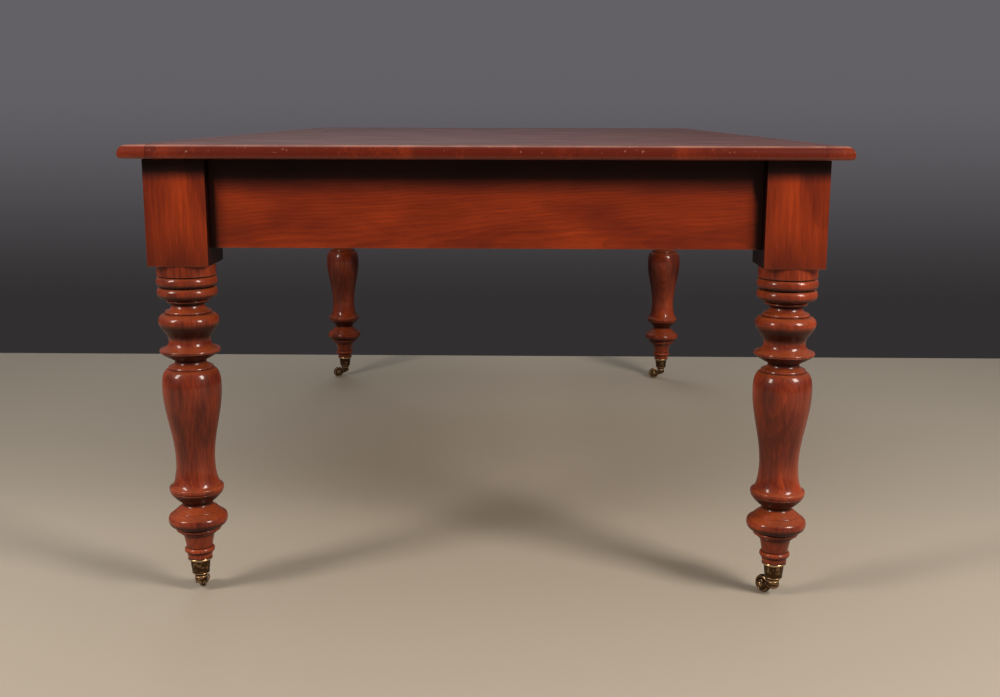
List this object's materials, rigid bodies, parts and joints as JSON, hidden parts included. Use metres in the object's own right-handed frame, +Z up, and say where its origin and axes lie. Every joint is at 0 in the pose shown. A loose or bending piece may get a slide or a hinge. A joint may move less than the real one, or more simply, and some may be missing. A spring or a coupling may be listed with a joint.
{
  "type": "partners writing table",
  "caption": "Long mahogany writing table with a leather top, drawers in both long sides and turned legs on brass castors.",
  "frame": {"origin": "on the floor, below the middle of the top", "axes": "+X across the table towards its right long side, +Y along it towards its back end, +Z up"},
  "size_m": [1.136, 1.868, 0.76],
  "materials": {
    "mahogany": "reddish brown mahogany, French polished to a soft gloss",
    "oak": "pale oak, left bare and waxed",
    "leather": "dark burgundy hide, waxed",
    "brass": "aged cast brass"
  },
  "bodies": {
    "table": {"castor_cup_back_left": "brass", "castor_cup_back_right": "brass", "castor_cup_front_left": "brass", "castor_cup_front_right": "brass", "end_apron_back": "mahogany", "end_apron_front": "mahogany", "end_runner_back": "oak", "end_runner_front": "oak", "leather_inset": "leather", "leg_back_left": "mahogany", "leg_back_right": "mahogany", "leg_front_left": "mahogany", "leg_front_right": "mahogany", "lower_rail_left": "mahogany", "lower_rail_right": "mahogany", "partition_1": "mahogany", "partition_2": "mahogany", "top_board": "mahogany", "top_edge_back": "mahogany", "top_edge_front": "mahogany", "top_edge_left": "mahogany", "top_edge_right": "mahogany", "upper_rail_left": "mahogany", "upper_rail_right": "mahogany"},
    "drawer_left_1": {"drawer_front_left_1": "mahogany", "drawer_box_left_1": "oak", "knob_left_1_a": "mahogany", "knob_left_1_b": "mahogany"},
    "drawer_left_2": {"drawer_front_left_2": "mahogany", "drawer_box_left_2": "oak", "knob_left_2_a": "mahogany", "knob_left_2_b": "mahogany"},
    "drawer_left_3": {"drawer_front_left_3": "mahogany", "drawer_box_left_3": "oak", "knob_left_3_a": "mahogany", "knob_left_3_b": "mahogany"},
    "drawer_right_1": {"drawer_front_right_1": "mahogany", "drawer_box_right_1": "oak", "knob_right_1_a": "mahogany", "knob_right_1_b": "mahogany"},
    "drawer_right_2": {"drawer_front_right_2": "mahogany", "drawer_box_right_2": "oak", "knob_right_2_a": "mahogany", "knob_right_2_b": "mahogany"},
    "drawer_right_3": {"drawer_front_right_3": "mahogany", "drawer_box_right_3": "oak", "knob_right_3_a": "mahogany", "knob_right_3_b": "mahogany"},
    "swivel_front_left": {"castor_horn_front_left": "brass", "castor_axle_front_left": "brass"},
    "wheel_front_left": {"castor_wheel_front_left": "brass"},
    "swivel_front_right": {"castor_horn_front_right": "brass", "castor_axle_front_right": "brass"},
    "wheel_front_right": {"castor_wheel_front_right": "brass"},
    "swivel_back_left": {"castor_horn_back_left": "brass", "castor_axle_back_left": "brass"},
    "wheel_back_left": {"castor_wheel_back_left": "brass"},
    "swivel_back_right": {"castor_horn_back_right": "brass", "castor_axle_back_right": "brass"},
    "wheel_back_right": {"castor_wheel_back_right": "brass"}
  },
  "joints": [
    {"name": "drawer_left_1_slide", "type": "slide", "parent": "table", "child": "drawer_left_1", "axis": [-1, 0, 0], "range_m": [0, 0.36]},
    {"name": "drawer_left_2_slide", "type": "slide", "parent": "table", "child": "drawer_left_2", "axis": [-1, 0, 0], "range_m": [0, 0.36]},
    {"name": "drawer_left_3_slide", "type": "slide", "parent": "table", "child": "drawer_left_3", "axis": [-1, 0, 0], "range_m": [0, 0.36]},
    {"name": "drawer_right_1_slide", "type": "slide", "parent": "table", "child": "drawer_right_1", "axis": [1, 0, 0], "range_m": [0, 0.36]},
    {"name": "drawer_right_2_slide", "type": "slide", "parent": "table", "child": "drawer_right_2", "axis": [1, 0, 0], "range_m": [0, 0.36]},
    {"name": "drawer_right_3_slide", "type": "slide", "parent": "table", "child": "drawer_right_3", "axis": [1, 0, 0], "range_m": [0, 0.36]},
    {"name": "castor_front_left_swivel", "type": "hinge", "parent": "table", "child": "swivel_front_left", "pos_m": [-0.49, -0.856, 0.0278], "axis": [0, 0, 1], "continuous": true},
    {"name": "castor_front_left_roll", "type": "hinge", "parent": "swivel_front_left", "child": "wheel_front_left", "pos_m": [-0.49268, -0.83416, 0.0152], "axis": [-0.9925, -0.1219, 0], "continuous": true},
    {"name": "castor_front_right_swivel", "type": "hinge", "parent": "table", "child": "swivel_front_right", "pos_m": [0.49, -0.856, 0.0278], "axis": [0, 0, 1], "continuous": true},
    {"name": "castor_front_right_roll", "type": "hinge", "parent": "swivel_front_right", "child": "wheel_front_right", "pos_m": [0.47738, -0.83798, 0.0152], "axis": [-0.8192, -0.5736, 0], "continuous": true},
    {"name": "castor_back_left_swivel", "type": "hinge", "parent": "table", "child": "swivel_back_left", "pos_m": [-0.49, 0.856, 0.0278], "axis": [0, 0, 1], "continuous": true},
    {"name": "castor_back_left_roll", "type": "hinge", "parent": "swivel_back_left", "child": "wheel_back_left", "pos_m": [-0.50943, 0.84567, 0.0152], "axis": [0.4695, -0.8829, 0], "continuous": true},
    {"name": "castor_back_right_swivel", "type": "hinge", "parent": "table", "child": "swivel_back_right", "pos_m": [0.49, 0.856, 0.0278], "axis": [0, 0, 1], "continuous": true},
    {"name": "castor_back_right_roll", "type": "hinge", "parent": "swivel_back_right", "child": "wheel_back_right", "pos_m": [0.46808, 0.85408, 0.0152], "axis": [0.0872, -0.9962, 0], "continuous": true}
  ]
}
